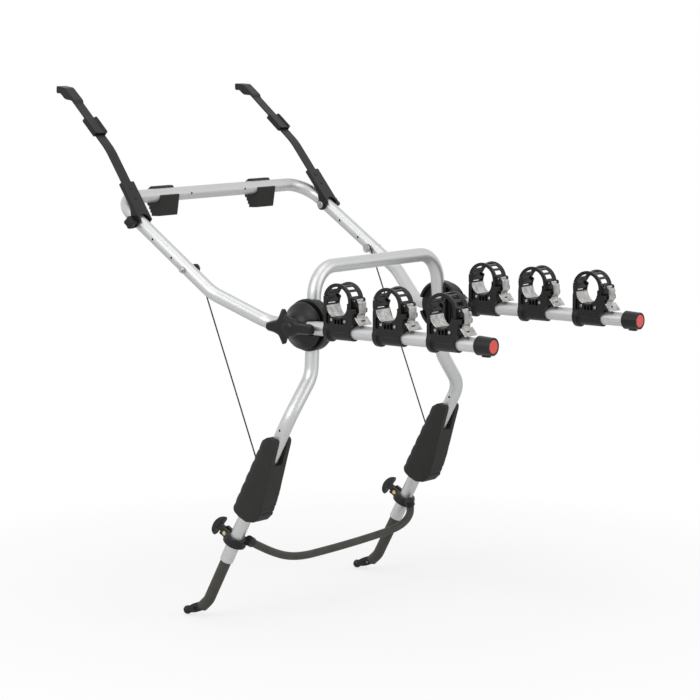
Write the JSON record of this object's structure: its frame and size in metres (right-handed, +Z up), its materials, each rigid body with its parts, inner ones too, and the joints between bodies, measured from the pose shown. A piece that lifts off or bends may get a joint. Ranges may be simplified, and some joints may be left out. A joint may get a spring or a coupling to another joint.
{
  "type": "trunk mounted bike rack",
  "caption": "Folding rack that hooks on a car's hatch, leans on its window and bumper, and holds bicycles by their frames in strapped cradles on two arms.",
  "frame": {"origin": "midway between the middles of the two foot covers' faces that rest on the bumper", "axes": "+X to the rack's right as seen from behind the car, +Y forward to the car, +Z up"},
  "size_m": [0.659, 1.1336, 1.0756],
  "materials": {
    "silver_tube": "satin anodised",
    "black_rubber": "matt",
    "black_plastic": "fine grain",
    "strap_plastic": "satin",
    "grey_rubber": "matt",
    "black_paint": "satin powder coat",
    "steel": "polished",
    "cable_steel": "coated",
    "brass": "plain",
    "red_lens": "gloss"
  },
  "bodies": {
    "lower_frame": {"lower_frame_tube": "silver_tube", "foot_cover_left": "black_rubber", "foot_cover_right": "black_rubber", "leg_collar_left": "black_plastic", "leg_collar_right": "black_plastic", "collar_screws": "brass", "steady_hose": "grey_rubber", "hinge_base_left": "black_plastic", "hinge_base_right": "black_plastic", "lower_frame_bolts": "steel"},
    "upper_frame": {"upper_frame_tube": "silver_tube", "window_pads": "black_rubber", "upper_frame_bolts": "steel", "stay_cables": "cable_steel"},
    "arm_left": {"arm_tube_left": "silver_tube", "hinge_cover_left": "black_plastic", "end_cap_left": "black_plastic", "reflector_left": "red_lens", "cradle_liners_left": "steel", "cradle_base_left_inner": "black_plastic", "cradle_base_left_middle": "black_plastic", "cradle_base_left_outer": "black_plastic"},
    "star_knob_left": {"star_knob_left": "black_plastic"},
    "hook_strap_left": {"strap_bracket_left": "black_paint", "lower_band_left": "black_paint", "adjuster_left": "black_plastic"},
    "hook_left": {"hook_band_left": "black_paint"},
    "strap_knob_left": {"strap_knob_left": "black_plastic"},
    "foot_rod_left": {"hook_rod_left": "grey_rubber", "foot_hook_left": "black_paint"},
    "collar_knob_left": {"collar_knob_left": "black_plastic"},
    "cradle_strap_left_inner": {"cradle_strap_left_inner": "strap_plastic"},
    "latch_lever_left_inner": {"latch_lever_left_inner": "steel"},
    "cradle_strap_left_middle": {"cradle_strap_left_middle": "strap_plastic"},
    "latch_lever_left_middle": {"latch_lever_left_middle": "steel"},
    "cradle_strap_left_outer": {"cradle_strap_left_outer": "strap_plastic"},
    "latch_lever_left_outer": {"latch_lever_left_outer": "steel"},
    "arm_right": {"arm_tube_right": "silver_tube", "hinge_cover_right": "black_plastic", "end_cap_right": "black_plastic", "reflector_right": "red_lens", "cradle_liners_right": "steel", "cradle_base_right_inner": "black_plastic", "cradle_base_right_middle": "black_plastic", "cradle_base_right_outer": "black_plastic"},
    "star_knob_right": {"star_knob_right": "black_plastic"},
    "hook_strap_right": {"strap_bracket_right": "black_paint", "lower_band_right": "black_paint", "adjuster_right": "black_plastic"},
    "hook_right": {"hook_band_right": "black_paint"},
    "strap_knob_right": {"strap_knob_right": "black_plastic"},
    "foot_rod_right": {"hook_rod_right": "grey_rubber", "foot_hook_right": "black_paint"},
    "collar_knob_right": {"collar_knob_right": "black_plastic"},
    "cradle_strap_right_inner": {"cradle_strap_right_inner": "strap_plastic"},
    "latch_lever_right_inner": {"latch_lever_right_inner": "steel"},
    "cradle_strap_right_middle": {"cradle_strap_right_middle": "strap_plastic"},
    "latch_lever_right_middle": {"latch_lever_right_middle": "steel"},
    "cradle_strap_right_outer": {"cradle_strap_right_outer": "strap_plastic"},
    "latch_lever_right_outer": {"latch_lever_right_outer": "steel"}
  },
  "joints": [
    {"name": "upper_frame_fold", "type": "hinge", "parent": "lower_frame", "child": "upper_frame", "pos_m": [0, -0.10036, 0.30201], "axis": [1, 0, 0], "range_deg": [-85, 0], "deforming": ["stay_cables"]},
    {"name": "arm_fold_left", "type": "hinge", "parent": "lower_frame", "child": "arm_left", "pos_m": [-0.24798, -0.10036, 0.30201], "axis": [1, 0, 0], "range_deg": [-90, 20]},
    {"name": "star_knob_turn_left", "type": "hinge", "parent": "lower_frame", "child": "star_knob_left", "pos_m": [-0.26538, -0.10036, 0.30201], "axis": [1, 0, 0], "continuous": true},
    {"name": "hook_strap_pivot_left", "type": "hinge", "parent": "upper_frame", "child": "hook_strap_left", "pos_m": [-0.2965, 0.28419, 0.49093], "axis": [1, 0, 0], "range_deg": [-8, 30]},
    {"name": "strap_knob_turn_left", "type": "hinge", "parent": "upper_frame", "child": "strap_knob_left", "pos_m": [-0.3145, 0.28419, 0.49093], "axis": [1, 0, 0], "continuous": true},
    {"name": "hook_reach_left", "type": "slide", "parent": "hook_strap_left", "child": "hook_left", "axis": [0, 0.7181, 0.6959], "range_m": [-0.015, 0.038]},
    {"name": "foot_rod_slide_left", "type": "slide", "parent": "lower_frame", "child": "foot_rod_left", "axis": [0, 0.4808, -0.8768], "range_m": [-0.05, 0.1]},
    {"name": "collar_knob_turn_left", "type": "hinge", "parent": "lower_frame", "child": "collar_knob_left", "pos_m": [-0.276, 0.06641, -0.12838], "axis": [0, 0.8768, 0.4808], "continuous": true},
    {"name": "cradle_strap_open_left_inner", "type": "hinge", "parent": "arm_left", "child": "cradle_strap_left_inner", "pos_m": [-0.24798, -0.18496, 0.36201], "axis": [-1, 0, 0], "range_deg": [0, 100]},
    {"name": "latch_lever_open_left_inner", "type": "hinge", "parent": "cradle_strap_left_inner", "child": "latch_lever_left_inner", "pos_m": [-0.24798, -0.25286, 0.36501], "axis": [-1, 0, 0], "range_deg": [0, 35]},
    {"name": "cradle_strap_open_left_middle", "type": "hinge", "parent": "arm_left", "child": "cradle_strap_left_middle", "pos_m": [-0.24798, -0.30736, 0.36201], "axis": [-1, 0, 0], "range_deg": [0, 100]},
    {"name": "latch_lever_open_left_middle", "type": "hinge", "parent": "cradle_strap_left_middle", "child": "latch_lever_left_middle", "pos_m": [-0.24798, -0.37526, 0.36501], "axis": [-1, 0, 0], "range_deg": [0, 100]},
    {"name": "cradle_strap_open_left_outer", "type": "hinge", "parent": "arm_left", "child": "cradle_strap_left_outer", "pos_m": [-0.24798, -0.43706, 0.36201], "axis": [-1, 0, 0], "range_deg": [0, 100]},
    {"name": "latch_lever_open_left_outer", "type": "hinge", "parent": "cradle_strap_left_outer", "child": "latch_lever_left_outer", "pos_m": [-0.24798, -0.50496, 0.36501], "axis": [-1, 0, 0], "range_deg": [0, 100]},
    {"name": "arm_fold_right", "type": "hinge", "parent": "lower_frame", "child": "arm_right", "pos_m": [0.24798, -0.10036, 0.30201], "axis": [1, 0, 0], "range_deg": [-90, 20]},
    {"name": "star_knob_turn_right", "type": "hinge", "parent": "lower_frame", "child": "star_knob_right", "pos_m": [0.26538, -0.10036, 0.30201], "axis": [1, 0, 0], "continuous": true},
    {"name": "hook_strap_pivot_right", "type": "hinge", "parent": "upper_frame", "child": "hook_strap_right", "pos_m": [0.2965, 0.28419, 0.49093], "axis": [1, 0, 0], "range_deg": [-3, 30]},
    {"name": "strap_knob_turn_right", "type": "hinge", "parent": "upper_frame", "child": "strap_knob_right", "pos_m": [0.3145, 0.28419, 0.49093], "axis": [1, 0, 0], "continuous": true},
    {"name": "hook_reach_right", "type": "slide", "parent": "hook_strap_right", "child": "hook_right", "axis": [0, 0.776, 0.6307], "range_m": [-0.034, 0.019]},
    {"name": "foot_rod_slide_right", "type": "slide", "parent": "lower_frame", "child": "foot_rod_right", "axis": [0, 0.4808, -0.8768], "range_m": [-0.05, 0.1]},
    {"name": "collar_knob_turn_right", "type": "hinge", "parent": "lower_frame", "child": "collar_knob_right", "pos_m": [0.276, 0.06641, -0.12838], "axis": [0, 0.8768, 0.4808], "continuous": true},
    {"name": "cradle_strap_open_right_inner", "type": "hinge", "parent": "arm_right", "child": "cradle_strap_right_inner", "pos_m": [0.24798, -0.16606, 0.36201], "axis": [-1, 0, 0], "range_deg": [0, 100]},
    {"name": "latch_lever_open_right_inner", "type": "hinge", "parent": "cradle_strap_right_inner", "child": "latch_lever_right_inner", "pos_m": [0.24798, -0.23396, 0.36501], "axis": [-1, 0, 0], "range_deg": [0, 35]},
    {"name": "cradle_strap_open_right_middle", "type": "hinge", "parent": "arm_right", "child": "cradle_strap_right_middle", "pos_m": [0.24798, -0.29346, 0.36201], "axis": [-1, 0, 0], "range_deg": [0, 100]},
    {"name": "latch_lever_open_right_middle", "type": "hinge", "parent": "cradle_strap_right_middle", "child": "latch_lever_right_middle", "pos_m": [0.24798, -0.36136, 0.36501], "axis": [-1, 0, 0], "range_deg": [0, 100]},
    {"name": "cradle_strap_open_right_outer", "type": "hinge", "parent": "arm_right", "child": "cradle_strap_right_outer", "pos_m": [0.24798, -0.42876, 0.36201], "axis": [-1, 0, 0], "range_deg": [0, 100]},
    {"name": "latch_lever_open_right_outer", "type": "hinge", "parent": "cradle_strap_right_outer", "child": "latch_lever_right_outer", "pos_m": [0.24798, -0.49666, 0.36501], "axis": [-1, 0, 0], "range_deg": [0, 100]}
  ]
}
